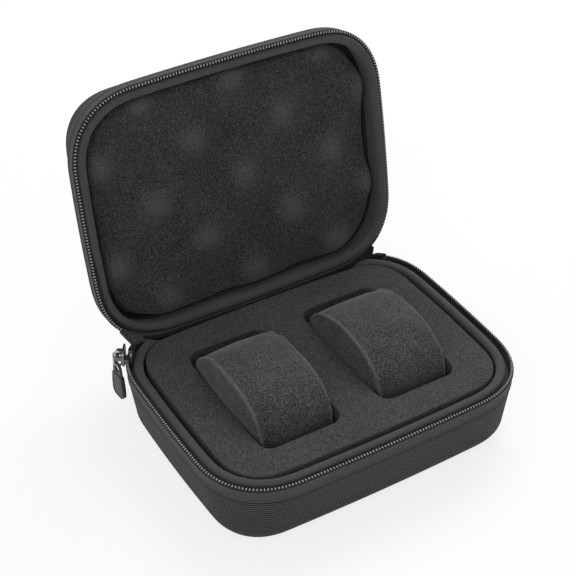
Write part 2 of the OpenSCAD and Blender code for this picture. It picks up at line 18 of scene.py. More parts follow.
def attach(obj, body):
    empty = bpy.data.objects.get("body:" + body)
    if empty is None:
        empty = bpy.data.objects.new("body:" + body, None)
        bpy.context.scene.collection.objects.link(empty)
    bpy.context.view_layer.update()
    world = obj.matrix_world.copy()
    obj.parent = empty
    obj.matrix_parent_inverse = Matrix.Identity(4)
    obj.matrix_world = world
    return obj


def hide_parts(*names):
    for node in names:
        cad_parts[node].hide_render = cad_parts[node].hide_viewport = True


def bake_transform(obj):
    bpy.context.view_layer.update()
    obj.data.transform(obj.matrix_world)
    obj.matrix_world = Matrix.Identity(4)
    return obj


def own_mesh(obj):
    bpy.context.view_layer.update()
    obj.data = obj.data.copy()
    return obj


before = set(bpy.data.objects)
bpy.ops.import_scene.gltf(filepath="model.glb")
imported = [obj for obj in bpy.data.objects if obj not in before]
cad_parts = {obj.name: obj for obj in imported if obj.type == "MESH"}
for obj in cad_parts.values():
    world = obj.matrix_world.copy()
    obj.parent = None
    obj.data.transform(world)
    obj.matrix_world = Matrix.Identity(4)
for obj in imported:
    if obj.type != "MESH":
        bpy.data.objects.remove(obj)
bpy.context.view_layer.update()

# %% [markdown]
# ## Sizes
# Everything is worked out from a few sizes in millimetres, the same ones as the CAD source has.
# A half case is drawn with its floor or crown at height 0 and its zip line at its full height, so
# one set of functions makes the base and the lid.

# %% Sizes in millimetres
MM = 0.001
case_l, case_w = 154.0, 118.6
corner_r, corner_sq, side_bow = 33.0, 2.5, 1.8
base_h, lid_h = 36.0, 26.0
wall_lean, corner_tuck = 3.5, 5.0
base_fillet, lid_fillet = 9.0, 12.0
fabric_t, shell_t, lining_t = 0.8, 2.4, 0.6
skin_o = 0.6
shell_in_o = skin_o - fabric_t - shell_t
band_depth = 10.0
tape_h, coil_top = 6.2, 0.85
seam_drop = tape_h + coil_top
tooth_pitch = 1.51
zip_gap, zip_end_y = 3.0, 50.0
lid_open = math.radians(101.7)
hinge_y, hinge_z = 55.9, 38.0
floor_z = fabric_t + shell_t + lining_t
pad_top = floor_z + 4.0
insert_top = base_h - 0.5
insert_in = 8.7
slot_w, slot_l, slot_r, slot_step, tray_y = 40.0, 72.5, 6.0, 60.6, -1.0
pillow_w, pillow_l, pillow_h = 38.0, 62.0, 44.5
pillow_flat, loose_gap = 2.4, 0.3
lump_x, lump_y, lump_h, lump_drop = 46.0, 24.5, 5.0, 2.5
lump_mid = (3.0, -3.0)
stitch_pitch = 2.9
tab_pivot = (-77.442, 49.339, 31.2)
tab_heading, tab_out = math.radians(183.742), 0.5

# %% [markdown]
# ## The outline of the case
# Seen from above the case is a rectangle whose corners are a little squarer than arcs and whose
# sides bow outwards. A superellipse gives such a corner: its cosine and sine are raised to a power.
# The outline is sampled closely, then read at even distances so that the weave runs evenly.

# %% The outline
CORNER_STEPS, SIDE_STEPS, AROUND = 60, 30, 420


def bowed(x, y, a, b):
    """Pushes the middle of each side outwards."""
    fx, fy = x / a, y / b
    return (x + side_bow * np.sign(x) * np.abs(fx) ** 4 * (1 - fy * fy),
            y + side_bow * np.sign(y) * np.abs(fy) ** 4 * (1 - fx * fx))


def close_outline(offset, tuck=0.0):
    """The outline, offset outwards, as closely spaced points from the front right corner round."""
    a, b = case_l / 2 + offset, case_w / 2 + offset
    r = corner_r + offset - tuck
    turn = np.radians(np.linspace(0, 90, CORNER_STEPS, endpoint=False))
    c = r * np.cos(turn) ** (2 / corner_sq)
    s = r * np.sin(turn) ** (2 / corner_sq)
    xs, ys = [], []
    for q in range(4):
        ux, uy = round(math.cos(math.radians(90 * q - 90))), round(math.sin(math.radians(90 * q - 90)))
        mx = (a - r) if q < 2 else -(a - r)
        my = (b - r) if q in (1, 2) else -(b - r)
        xs.append(mx + c * ux - s * uy)
        ys.append(my + c * uy + s * ux)
        along = (b - r) if q % 2 == 0 else (a - r)
        far = a if q % 2 == 0 else b
        w = np.linspace(-along, along, SIDE_STEPS, endpoint=False)
        vx, vy = -uy, ux
        xs.append(far * vx + w * -vy)
        ys.append(far * vy + w * vx)
    x, y = bowed(np.concatenate(xs), np.concatenate(ys), a, b)
    return np.stack([x, y], 1)


def lengths_round(points):
    """Distance along a closed outline at each of its points, and once round."""
    steps = np.linalg.norm(np.roll(points, -1, 0) - points, axis=1)
    return np.concatenate([[0], np.cumsum(steps)])


zip_line = close_outline(0)
zip_lengths = lengths_round(zip_line)
around_mm = zip_lengths[-1]


def at_lengths(points, wanted):
    """The places on an outline that match distances along the zip line."""
    index = np.interp(np.mod(wanted, around_mm), zip_lengths, np.arange(len(zip_lengths)))
    closed = np.concatenate([points, points[:1]])
    k = np.minimum(index.astype(int), len(points) - 1)
    f = (index - k)[:, None]
    return closed[k] * (1 - f) + closed[k + 1] * f


even = np.arange(AROUND) * around_mm / AROUND


def loop(offset, height, tuck=0.0):
    """One closed loop of points round a half case."""
    flat = at_lengths(close_outline(offset, tuck), even)
    return np.column_stack([flat, np.full(AROUND, height)])


def at_hinge(points, inset=15.0, width=12.0):
    """1 along the hinge, where the base's rim is lower, and 0 round the rest of the case."""
    f = np.clip((case_l / 2 - inset - np.abs(points[:, 0])) / width, 0, 1)
    return np.where(points[:, 1] > 0, f * f * (3 - 2 * f), 0)


print(f"once round the zip line: {around_mm:.0f} mm")

# %% [markdown]
# ## From loops to meshes
# Most of the case is a stack of such loops with faces between them. Each mesh also gets a map of
# its surface in millimetres: the distance round the case and the distance down the wall. Weaves
# and ribs are drawn on that map, so they follow the wall as real cloth does.

# %% Turning loops into meshes
def to_lid(points):
    """Takes a half case drawn crown down to its place as the open lid."""
    x, y, z = points[:, 0], points[:, 1], base_h + zip_gap + lid_h - points[:, 2]
    back, up = y - hinge_y, z - hinge_z
    c, s = math.cos(lid_open), math.sin(lid_open)
    return np.column_stack([x, hinge_y + back * c + up * s, hinge_z - back * s + up * c])


def mesh_object(name, points, faces, finish, body, maps=None, lid=False, turn_out=True):
    """A mesh in metres that rides on a body, with an optional surface map per face corner."""
    points = np.asarray(points, float)
    if lid:
        points = to_lid(points)
    mesh = bpy.data.meshes.new(name)
    mesh.from_pydata((points * MM).tolist(), [], faces)
    if maps is not None:
        layer = mesh.uv_layers.new(name="weave")
        flat = np.array([uv for face in maps for uv in face], np.float32)
        layer.data.foreach_set("uv", flat.ravel())
    mesh.polygons.foreach_set("use_smooth", [True] * len(mesh.polygons))
    mesh.materials.append(finish)
    mesh.update()
    if turn_out:
        work = bmesh.new()
        work.from_mesh(mesh)
        bmesh.ops.recalc_face_normals(work, faces=work.faces)
        work.to_mesh(mesh)
        work.free()
    made = bpy.data.objects.new(name, mesh)
    bpy.context.scene.collection.objects.link(made)
    if body:
        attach(made, body)
    return made


def between(loops, ring_closed=False):
    """Quads between a list of loops, with the surface map for each face corner."""
    n = len(loops[0])
    points = np.concatenate(loops)
    run = [0.0]
    rows = list(loops) + ([loops[0]] if ring_closed else [])
    for one, two in zip(rows, rows[1:]):
        run.append(run[-1] + float(np.median(np.linalg.norm(two - one, axis=1))))
    faces, maps = [], []
    for k in range(len(rows) - 1):
        a, b = k * n, ((k + 1) % len(loops)) * n
        for i in range(n):
            j = (i + 1) % n
            u, w = i * around_mm / n, (i + 1) * around_mm / n
            faces.append((a + i, a + j, b + j, b + i))
            maps.append(((u, run[k]), (w, run[k]), (w, run[k + 1]), (u, run[k + 1])))
    return points, faces, maps


def cap(points, faces, maps, start, shares, dome=0.0):
    """Closes one end of a stack of loops with rings that shrink to its middle."""
    n = AROUND
    rim = points[start:start + n]
    height = rim[0, 2]
    last = start
    rings = [points]
    count = len(points)
    for share in shares:
        ring = rim * [share, share, 0] + [0, 0, height - dome * (1 - share * share)]
        rings.append(ring)
        for i in range(n):
            j = (i + 1) % n
            faces.append((last + i, count + i, count + j, last + j))
        last = count
        count += n
    rings.append(np.array([[0, 0, height - dome]]))
    for i in range(n):
        faces.append((last + i, count, last + (i + 1) % n))
    points = np.concatenate(rings)
    for face in faces[len(maps):]:
        maps.append([tuple(points[v][:2]) for v in face])
    return points, faces, maps


CAP_SHARES = (0.97, 0.9, 0.78, 0.6, 0.4, 0.2)


def wall_at(depth, fillet, height, tall):
    """A loop on the leaning wall, as (offset, height, tuck)."""
    up = min(1.0, (height - fillet) / (tall - seam_drop - fillet))
    return (skin_o - depth - wall_lean * (1 - up), height, corner_tuck * (1 - up))


def wall_loops(depth, fillet, top, tall, steps=10):
    """Loops from the edge of the floor or crown, round its fillet and up the wall."""
    rows = []
    for a in np.linspace(90, 0, steps):
        c, s = math.cos(math.radians(a)), math.sin(math.radians(a))
        rows.append((skin_o - wall_lean - fillet + (fillet - depth) * c,
                     fillet - (fillet - depth) * s, corner_tuck))
    seam = min(top, tall - seam_drop)
    for height in np.linspace(fillet, seam, 7)[1:]:
        rows.append(wall_at(depth, fillet, height, tall))
    return rows


# %% [markdown]
# ## Materials as sums
# A shader is easier to read as arithmetic. `Value` wraps one output socket and overloads the
# operators, so `1 - mask` adds a Math node. `Finish` holds one material, and its `node` method
# adds any other node: the settings first, then the sockets.

# %% A small class for shader sums
class Value:
    """One number in a material's node tree."""

    def __init__(self, finish, socket):
        self.finish, self.socket = finish, socket

    def sum_with(self, operation, other=None, first=None):
        inputs = [self, other] if first is None else [first, self]
        made = self.finish.node("ShaderNodeMath", {"operation": operation},
                                {i: v for i, v in enumerate(inputs) if v is not None})
        return Value(self.finish, made.outputs[0])

    def __add__(self, other):
        return self.sum_with("ADD", other)

    def __mul__(self, other):
        return self.sum_with("MULTIPLY", other)

    def __sub__(self, other):
        return self.sum_with("SUBTRACT", other)

    def __rsub__(self, other):
        return self.sum_with("SUBTRACT", first=other)

    def __truediv__(self, other):
        return self.sum_with("DIVIDE", other)

    def __pow__(self, other):
        return self.sum_with("POWER", other)

    __radd__, __rmul__ = __add__, __mul__

    def sine(self):
        return self.sum_with("SINE")

    def size(self):
        return self.sum_with("ABSOLUTE")

    def floor(self):
        return self.sum_with("FLOOR")

    def most(self, other):
        return self.sum_with("MAXIMUM", other)

    def ramp(self, low, high):
        """Rises smoothly from 0 at low to 1 at high."""
        made = self.finish.node("ShaderNodeMapRange", {"interpolation_type": "SMOOTHSTEP"},
                                {"Value": self, "From Min": low, "From Max": high})
        return Value(self.finish, made.outputs[0])


class Finish:
    """One material, built node by node."""

    def __init__(self, name, **base):
        self.material = bpy.data.materials.new(name)
        self.material.use_nodes = True
        self.tree = self.material.node_tree
        self.tree.nodes.clear()
        self.shader = self.node("ShaderNodeBsdfPrincipled", {}, base)
        output = self.node("ShaderNodeOutputMaterial")
        self.tree.links.new(self.shader.outputs[0], output.inputs[0])

    def node(self, kind, settings=None, sockets=None):
        """Adds a node: its settings are set first, then its sockets get values or links."""
        made = self.tree.nodes.new(kind)
        for key, value in (settings or {}).items():
            if key == "stops":
                for stop, (place, colour) in zip(made.color_ramp.elements, value):
                    stop.position, stop.color = place, colour
            else:
                setattr(made, key, value)
        for key, value in (sockets or {}).items():
            self.put(made.inputs[key], value)
        return made

    def put(self, socket, value):
        """Gives a socket a number, a colour or a link."""
        if isinstance(value, Value):
            self.tree.links.new(value.socket, socket)
        elif isinstance(value, bpy.types.NodeSocket):
            self.tree.links.new(value, socket)
        else:
            socket.default_value = value

    def map_mm(self):
        """The two distances of the surface map, in millimetres."""
        parts = self.node("ShaderNodeSeparateXYZ", {},
                          {0: self.node("ShaderNodeUVMap", {"uv_map": "weave"}).outputs[0]})
        return Value(self, parts.outputs[0]), Value(self, parts.outputs[1])

    def place(self):
        """The object's own coordinates, which are the row frame's, in metres."""
        return self.node("ShaderNodeTexCoord").outputs["Object"]

    def noise(self, per_metre, detail=3.0, rough=0.55):
        made = self.node("ShaderNodeTexNoise", {},
                         {"Vector": self.place(), "Scale": per_metre,
                          "Detail": detail, "Roughness": rough})
        return Value(self, made.outputs[0])

    def level(self, attribute):
        """A number that the mesh keeps at each of its points."""
        made = self.node("ShaderNodeAttribute", {"attribute_name": attribute})
        return Value(self, made.outputs["Fac"])

    def seen_white(self):
        """1 for the rays that should find white: camera, reflected and see-through ones."""
        rays = self.node("ShaderNodeLightPath")
        camera_ray, glossy, through = [Value(self, rays.outputs[f"Is {kind} Ray"])
                                       for kind in ("Camera", "Glossy", "Transmission")]
        return camera_ray.most(glossy).most(through)

    def mix(self, share, one, two):
        """A colour between two, by share."""
        made = self.node("ShaderNodeMix", {"data_type": "RGBA"}, {0: share})
        self.put(made.inputs[6], one)
        self.put(made.inputs[7], two)
        return made.outputs[2]

    def bump(self, height, depth_m, strength=1.0):
        made = self.node("ShaderNodeBump", {},
                         {"Height": height, "Distance": depth_m, "Strength": strength})
        self.put(self.shader.inputs["Normal"], made.outputs[0])

    def colour(self, value):
        self.put(self.shader.inputs["Base Color"], value)

    def roughness(self, value):
        self.put(self.shader.inputs["Roughness"], value)


def grey(level, warm=0.0):
    """A grey by its level on screen, from 0 to 255, as the linear colour that a shader takes."""
    linear = [((level * k / 255) + 0.055) / 1.055 for k in (1 + warm, 1.0, 1 - warm)]
    return tuple(c ** 2.4 for c in linear) + (1.0,)


# %% [markdown]
# ## Cloths
# The outer cloth is a coarse nylon: rows of short raised dashes that sit like bricks, each row
# half a dash along from the last. Two sines on the surface map give the dashes, and the same
# height drives both the bump and the colour, because the tops of the threads catch more light.

# %% The outer cloth
def woven_nylon():
    f = Finish("woven_nylon", **{"Specular IOR Level": 0.25})
    across, down = f.map_mm()
    row_mm, dash_mm = 1.42, 1.25
    row = (down / row_mm).floor()
    dash = ((across / dash_mm + row * 0.5) * math.pi).sine().size() ** 0.7
    thread = (down * (math.pi / row_mm)).sine().size() ** 0.9
    height = thread * (0.35 + dash * 0.65)
    fine = f.noise(1900, 2)
    wear_and_glint = f.noise(45, 3)
    shade = height.ramp(0.4, 0.95) * 0.95 + fine * 0.2
    f.colour(f.mix(shade * (0.75 + wear_and_glint * 0.5), grey(6, 0.01), grey(80, 0.008)))
    f.roughness(0.85 - height * 0.25)
    f.bump(height + fine * 0.15, 0.00045, 1.0)
    return f.material


nylon = woven_nylon()
print("outer cloth ready")

# %% [markdown]
# The tape and the rolled band are ribbed cloth: fine cords that run across the strip. A sine of
# the distance round the case gives the cords, and a second, faster one gives the twist of the yarn.

# %% Ribbed cloth for tape and band
def ribbed_cloth(name, dark, light, rib_mm, lean, contrast, depth_m=0.00015):
    f = Finish(name, **{"Specular IOR Level": 0.3, "Sheen Weight": 0.1})
    across, down = f.map_mm()
    rib = ((across + down * lean) * (math.pi / rib_mm)).sine().size() ** 0.8
    twist = ((down - across * 0.4) * (math.pi / 0.7)).sine().size()
    fine = f.noise(1800, 2)
    wear_and_glint = f.noise(60, 3)
    shade = 0.5 + (rib - 0.6) * contrast + (twist - 0.6) * 0.2 + (fine - 0.5) * 0.9
    shade = shade * (0.75 + wear_and_glint * 0.5)
    f.colour(f.mix(shade, grey(dark, 0.008), grey(light, 0.008)))
    f.roughness(0.88 - rib * 0.12)
    f.bump(rib * contrast + twist * 0.25 + fine * 0.3, depth_m, 0.9)
    return f.material


tape_cloth = ribbed_cloth("zip_tape_cloth", 26, 74, 0.85, 0.2, 0.75)
band_cloth = ribbed_cloth("rim_band_cloth", 24, 80, 0.85, 0.75, 1.0)

# %% [markdown]
# ## Plain cloth, foam, velvet and nylon
# These have no map: their grain is even in all directions, so noise on the object's own
# coordinates serves. Velvet and foam scatter light at their edges, which the sheen gives.

# %% The other finishes
def napped(name, dark, light, grain, sheen, bump_m=0.00012, patch=35, specks=0.0, painted_highlight=None,
           highlight_gain=0.3, speckle=4.0):
    """Short nap or fine foam: sharp speckles over slow patches of tone, with an optional painted
    highlight.
    """
    f = Finish(name, **{"Specular IOR Level": 0.15, "Sheen Weight": sheen,
                        "Sheen Roughness": 0.5, "Roughness": 0.95})
    fine = f.noise(grain, 1, 0.7)
    coarse = f.noise(grain / 3.1, 2)
    slow = f.noise(patch, 2)
    shade = 0.5 + (fine - 0.5) * speckle + (coarse - 0.5) * 0.5 + (slow - 0.5) * 0.5
    # Painted highlight: the colour is made lighter where a point attribute is high, on the pillows' seam
    # ridges and the tops of the foam's lumps.
    if painted_highlight:
        shade = shade + f.level(painted_highlight) * highlight_gain
    colour = f.mix(shade.ramp(-0.1, 1.25), grey(dark, 0.006), grey(light, 0.006))
    if specks:
        lint = f.noise(grain * 0.9, 1).ramp(0.66, 0.74)
        colour = f.mix(lint * specks, colour, grey(165))
    f.colour(colour)
    f.bump(fine * 0.6 + coarse * 0.3, bump_m, 0.8)
    return f.material


insert_foam = napped("smooth_insert_foam", 38, 88, 2600, 0.05, bump_m=0.00006, patch=20)
# The velvet's seam ridges and the egg-crate foam's lump tops get a painted highlight.
velvet = napped("pillow_velvet", 18, 90, 2200, 0.2, bump_m=0.0001, patch=60, specks=0.4,
                painted_highlight="seam", highlight_gain=0.5, speckle=3.4)
egg_foam = napped("egg_crate_foam", 12, 74, 2200, 0.1, bump_m=0.00011, patch=40, specks=0.3,
                  painted_highlight="lump", highlight_gain=0.55, speckle=3.4)
lining_cloth = napped("lining_cloth", 14, 34, 2000, 0.1)
hinge_cloth = napped("hinge_cloth", 12, 40, 1800, 0.05)
corner_cloth = napped("corner_cloth", 26, 88, 1800, 0.1)


def moulded(name, base_level, rough, metallic=0.0, grain=900, wear=0.15, coat=0.0):
    """A hard finish with a fine grain and a little variation in gloss."""
    f = Finish(name, Metallic=metallic, **{"Coat Weight": coat})
    fine = f.noise(grain, 3)
    slow = f.noise(120, 2)
    f.colour(f.mix(slow.ramp(0.3, 0.7), grey(base_level), grey(base_level * (1 + wear))))
    f.roughness(rough + (fine - 0.5) * 0.18)
    f.bump(fine, 0.00004, 0.5)
    return f.material




def coil_finish():
    """Painted highlights on the tops of the coil's loops, and dark legs below them."""
    f = Finish("coil_nylon", **{"Coat Weight": 0.0})
    # Painted highlight: the tops of the loops are coloured light, varied a little by noise, and the legs
    # dark.
    top = f.level("top")
    wear_and_glint = f.noise(300, 2)
    f.colour(f.mix(top * (0.7 + wear_and_glint * 0.6), grey(8), grey(165)))
    f.roughness(0.75 - top * 0.45)
    f.bump(f.noise(1500, 2), 0.00004, 0.4)
    return f.material


coil_nylon = coil_finish()
zip_core = moulded("zip_core", 10, 0.85, grain=2000)
gunmetal = moulded("slider_gunmetal", 96, 0.36, metallic=0.9, coat=0.1)
steel_wire = moulded("link_steel", 150, 0.25, metallic=1.0)
pull_rubber = moulded("pull_rubber", 46, 0.55, grain=1500)
foam_core = moulded("pressed_foam", 24, 0.8)
sewing_thread = moulded("sewing_thread", 66, 0.7, grain=3000)
print("materials:", len(bpy.data.materials))

# %% [markdown]
# ## Outer cloth and lining of each half
# The cloth is bonded to the pressed foam, so it is drawn as a smooth thin cup: up the outside, over
# the seam and down the inside. The crown of the lid is a shallow dome, and the floor is flat. The
# lining is the same kind of cup inside the shell, and shows only between the tray and the wall.

# %% Outer cloth and linings
def cup(name, depth, thick, fillet, top, tall, dome, finish, body, lid, node):
    """A thin cup, its outside at a depth below the case's skin."""
    outer = [loop(*row) for row in wall_loops(depth, fillet, top, tall)]
    inner = [loop(*row) for row in reversed(wall_loops(depth + thick, fillet, top, tall))]
    points, faces, maps = between(outer + inner)
    points, faces, maps = cap(points, faces, maps, 0, CAP_SHARES, dome)
    points, faces, maps = cap(points, faces, maps, (len(outer) + len(inner) - 1) * AROUND,
                              CAP_SHARES, dome)
    made = mesh_object(name, points, faces, finish, body, maps, lid)
    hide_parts(node)
    print(name, "has", len(made.data.polygons), "faces")


cup("base_outer_cloth", 0, fabric_t, base_fillet, base_h - seam_drop, base_h, 0.0, nylon, "base",
    False, "base_fabric")
cup("lid_outer_cloth", 0, fabric_t, lid_fillet, lid_h - seam_drop, lid_h, 0.6, nylon, "lid",
    True, "lid_fabric")
cup("base_inner_lining", fabric_t + shell_t, lining_t, base_fillet, base_h - band_depth - 1, base_h,
    0.0, lining_cloth, "base", False, "base_lining")
cup("lid_inner_lining", fabric_t + shell_t, lining_t, lid_fillet, lid_h - band_depth - 1, lid_h,
    0.0, lining_cloth, "lid", True, "lid_lining")

# %% [markdown]
# ## Tape and rolled band
# Each is one cross-section swept round the rim. The tape has a bead at its seam and another at
# its top edge, where the cloth turns over. The band is a soft roll that falls away towards the
# zip, which leaves the room that the slider's inner plate runs in. At the hinge both are lower on
# the base, because the open lid's edge comes down there.

# %% Tape and band
def smooth_section(corners, steps=4):
    """Rounds a closed cross-section with a Catmull-Rom curve through its corners."""
    p = np.array(corners, float)
    n = len(p)
    out = []
    for i in range(n):
        a, b, c, d = p[i - 1], p[i], p[(i + 1) % n], p[(i + 2) % n]
        for t in np.arange(steps) / steps:
            out.append(0.5 * ((2 * b) + (c - a) * t + (2 * a - 5 * b + 4 * c - d) * t * t
                              + (3 * b - a - 3 * c + d) * t ** 3))
    return out


def swept_rim(name, section, finish, body, lid, low, dip, nodes, others=()):
    """Sweeps a closed cross-section round the rim. Where a weight in others is 1, the section
    that comes with it holds instead."""
    loops = []
    for k, (offset, height, tuck) in enumerate(section):
        ring = loop(offset, height, tuck)
        plain = ring.copy()
        for other, weight in others:
            ring += (loop(*other[k]) - plain) * weight[:, None]
        ring[:, 2] = low + (ring[:, 2] - low) * (1 - dip * at_hinge(ring))
        loops.append(ring)
    points, faces, maps = between(loops, ring_closed=True)
    made = mesh_object(name, points, faces, finish, body, maps, lid)
    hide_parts(*nodes)
    return made


def smooth_step(values):
    f = np.clip(values, 0, 1)
    return f * f * (3 - 2 * f)


zip_places = loop(0, 0)
lid_right = smooth_step((zip_places[:, 0] - 48) / 18) * smooth_step((62 - zip_places[:, 1]) / 14)
near_slider = smooth_step((-46 - zip_places[:, 0]) / 12) * smooth_step((zip_places[:, 1] - 8) / 14)


def tape_section(tall):
    s = tall - seam_drop
    t = tall - coil_top
    return smooth_section([
        (-0.2, s + 0.05, 0), (0.5, s - 0.1, 0), (0.8, s + 0.25, 0), (0.76, s + 0.8, 0),
        (0.6, s + 1.2, 0), (0.62, s + 3.2, 0), (0.68, t - 1.5, 0), (1.0, t - 1.0, 0),
        (1.12, t - 0.35, 0), (0.98, t + 0.05, 0), (0.6, t - 0.25, 0), (-0.15, t - 0.8, 0),
        (-0.2, s + 3, 0)])


def band_section(tall, shape, under):
    """The rolled band, from a list of (offset, height above the zip line). Below its roll the
    cloth goes back to the wall, at the offset under."""
    low = tall - band_depth
    outer = [(shell_in_o, low + 0.2, 0), (shell_in_o + 0.1, low + 3.0, 0)]
    inner = [(under, tall - 6.0, 0), (under, low + 0.3, 0), (under + 0.3, low, 0)]
    return smooth_section(outer + [(o, tall + h, 0) for o, h in shape] + inner)


base_shape = [(-0.9, -5.6), (-0.7, -4.5), (-1.4, -3.5), (-2.35, -2.7), (-2.5, -1.3), (-3.1, -0.45),
              (-4.4, 0.0), (-5.5, -0.25), (-6.3, -1.1), (-6.4, -2.8)]
lid_shape = [(-0.9, -5.6), (-0.7, -4.5), (-0.9, -3.3), (-1.2, -2.2), (-1.35, -1.1), (-1.9, -0.25),
             (-3.1, 0.1), (-4.5, -0.2), (-5.2, -1.2), (-4.9, -2.6)]
rolled_shape = [(-0.9, -5.6), (-0.75, -4.5), (-0.65, -3.3), (-0.6, -2.0), (-0.7, -0.7), (-1.3, 0.35),
                (-2.6, 0.45), (-4.0, -0.2), (-4.8, -1.3), (-4.6, -2.6)]
slim_shape = [(-0.9, -5.6), (-0.7, -4.5), (-1.4, -3.5), (-2.35, -2.7), (-2.45, -1.2), (-2.8, -0.4),
              (-3.5, 0.0), (-4.5, -0.2), (-5.2, -1.2), (-4.9, -2.6)]
lid_under = -3.9
swept_rim("base_tape", tape_section(base_h), tape_cloth, "base", False, base_h - seam_drop, 0.93,
          ["base_zip_tape", "hinge_strip"])
swept_rim("lid_tape", tape_section(lid_h), tape_cloth, "lid", True, lid_h - seam_drop, 0.0,
          ["lid_zip_tape", "lid_hinge_strip"])
swept_rim("base_rolled_band", band_section(base_h, base_shape, -5.2), band_cloth, "base", False,
          base_h - band_depth, 0.6, ["base_rim_band"])
swept_rim("lid_rolled_band", band_section(lid_h, lid_shape, lid_under), band_cloth, "lid", True,
          lid_h - band_depth, 0.0, ["lid_rim_band"],
          [(band_section(lid_h, rolled_shape, lid_under), lid_right),
           (band_section(lid_h, slim_shape, lid_under), near_slider)])

# %% [markdown]
# ## Zip teeth
# A nylon zip is a coil, sewn on with one loop every 1.5 mm. Each loop is a small arch over the
# edge of the tape. One arch is modelled as a bent tube, and Geometry Nodes repeat it: the path is
# resampled at the pitch, an arch stands at each point and turns about the vertical with the path,
# and the copies are then made real, because the export keeps no instances. The attribute `top`
# marks the tops of the loops, which carry a painted highlight and are the only light part of a loop.

# %% One arch of the coil
def tube_faces(rings, sides):
    """The faces of a closed tube made of rings of points."""
    faces = [(k * sides + j, k * sides + (j + 1) % sides, (k + 1) * sides + (j + 1) % sides,
              (k + 1) * sides + j) for k in range(rings - 1) for j in range(sides)]
    last = rings * sides - 1
    return faces + [tuple(range(sides)), tuple(range(last, last - sides, -1))]


def arch_mesh():
    path = [(-0.36, -2.6), (-0.4, -1.8), (-0.42, -0.9), (-0.36, -0.3), (-0.2, 0.0), (0.0, 0.1),
            (0.2, 0.0), (0.36, -0.3), (0.42, -0.9), (0.4, -1.8), (0.36, -2.6)]
    wire, sides = 0.3, 6
    points = []
    for k, (o, z) in enumerate(path):
        before, after = path[max(0, k - 1)], path[min(len(path) - 1, k + 1)]
        tx, tz = after[0] - before[0], after[1] - before[1]
        size = math.hypot(tx, tz)
        nx, nz = -tz / size, tx / size
        fat = wire * (1.25 if 3 <= k <= 7 else 1.0)
        for j in range(sides):
            a = 2 * math.pi * j / sides
            round_it, along_it = fat * math.cos(a), fat * math.sin(a) * 0.8
            points.append((o + nx * round_it, along_it, z + nz * round_it))
    # The share of painted highlight at each point: 1 on the top of the arch, 0 down its legs.
    tops = [min(1.0, max(0.0, (point[2] + 0.1) / 0.3)) for point in points]
    return points, tube_faces(len(path), sides), tops


# %% A tree that repeats a small mesh along a path
def repeat_tree(name, piece, finish):
    """Copies of a piece along a path: pitch in metres, size as a factor, turn about the path."""
    tree = bpy.data.node_groups.new(name, "GeometryNodeTree")
    tree.interface.new_socket("Path", in_out="INPUT", socket_type="NodeSocketGeometry")
    pitch = tree.interface.new_socket("Pitch", in_out="INPUT", socket_type="NodeSocketFloat")
    size = tree.interface.new_socket("Size", in_out="INPUT", socket_type="NodeSocketFloat")
    tree.interface.new_socket("Copies", in_out="OUTPUT", socket_type="NodeSocketGeometry")

    def add(kind, settings=None, sockets=None):
        made = tree.nodes.new(kind)
        for key, value in (settings or {}).items():
            setattr(made, key, value)
        for key, value in (sockets or {}).items():
            if isinstance(value, bpy.types.NodeSocket):
                tree.links.new(value, made.inputs[key])
            else:
                made.inputs[key].default_value = value
        return made

    start = add("NodeGroupInput")
    curve = add("GeometryNodeMeshToCurve", {}, {"Mesh": start.outputs["Path"]})
    even_curve = add("GeometryNodeResampleCurve", {"mode": "LENGTH"},
                     {"Curve": curve.outputs[0], "Length": start.outputs["Pitch"]})
    tangent = add("GeometryNodeInputTangent")
    along = add("FunctionNodeAlignRotationToVector", {"axis": "Y", "pivot_axis": "Z"},
                {"Vector": tangent.outputs[0]})
    source = add("GeometryNodeObjectInfo", {"transform_space": "ORIGINAL"}, {"Object": piece})
    spread = add("GeometryNodeInstanceOnPoints", {},
                 {"Points": even_curve.outputs[0], "Instance": source.outputs["Geometry"],
                  "Rotation": along.outputs[0], "Scale": start.outputs["Size"]})
    real = add("GeometryNodeRealizeInstances", {}, {"Geometry": spread.outputs[0]})
    dressed = add("GeometryNodeSetMaterial", {},
                  {"Geometry": real.outputs[0], "Material": finish})
    end = add("NodeGroupOutput")
    tree.links.new(dressed.outputs[0], end.inputs[0])
    return tree, pitch.identifier, size.identifier


def repeated(name, path_mm, closed, piece, finish, pitch_mm, body, lid=False, size=1.0):
    """Runs the tree on a path and returns a plain mesh object."""
    work = bpy.data.meshes.new(name + "_path")
    edges = [(i, i + 1) for i in range(len(path_mm) - 1)]
    if closed:
        edges.append((len(path_mm) - 1, 0))
    work.from_pydata((np.asarray(path_mm) * MM).tolist(), edges, [])
    carrier = bpy.data.objects.new(name + "_path", work)
    bpy.context.scene.collection.objects.link(carrier)
    tree, pitch_id, size_id = repeat_tree(name + "_tree", piece, finish)
    modifier = carrier.modifiers.new("repeat", "NODES")
    modifier.node_group = tree
    modifier[pitch_id] = pitch_mm * MM
    modifier[size_id] = float(size)
    bpy.context.view_layer.update()
    graph = bpy.context.evaluated_depsgraph_get()
    mesh = bpy.data.meshes.new_from_object(carrier.evaluated_get(graph))
    bpy.data.objects.remove(carrier)
    if lid:
        points = np.empty(len(mesh.vertices) * 3)
        mesh.vertices.foreach_get("co", points)
        turned = to_lid(points.reshape(-1, 3) / MM) * MM
        mesh.vertices.foreach_set("co", turned.ravel())
        mesh.flip_normals()
    mesh.polygons.foreach_set("use_smooth", [True] * len(mesh.polygons))
    mesh.name = name
    made = bpy.data.objects.new(name, mesh)
    bpy.context.scene.collection.objects.link(made)
    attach(made, body)
    print(name, "has", len(mesh.polygons), "faces")
    return made


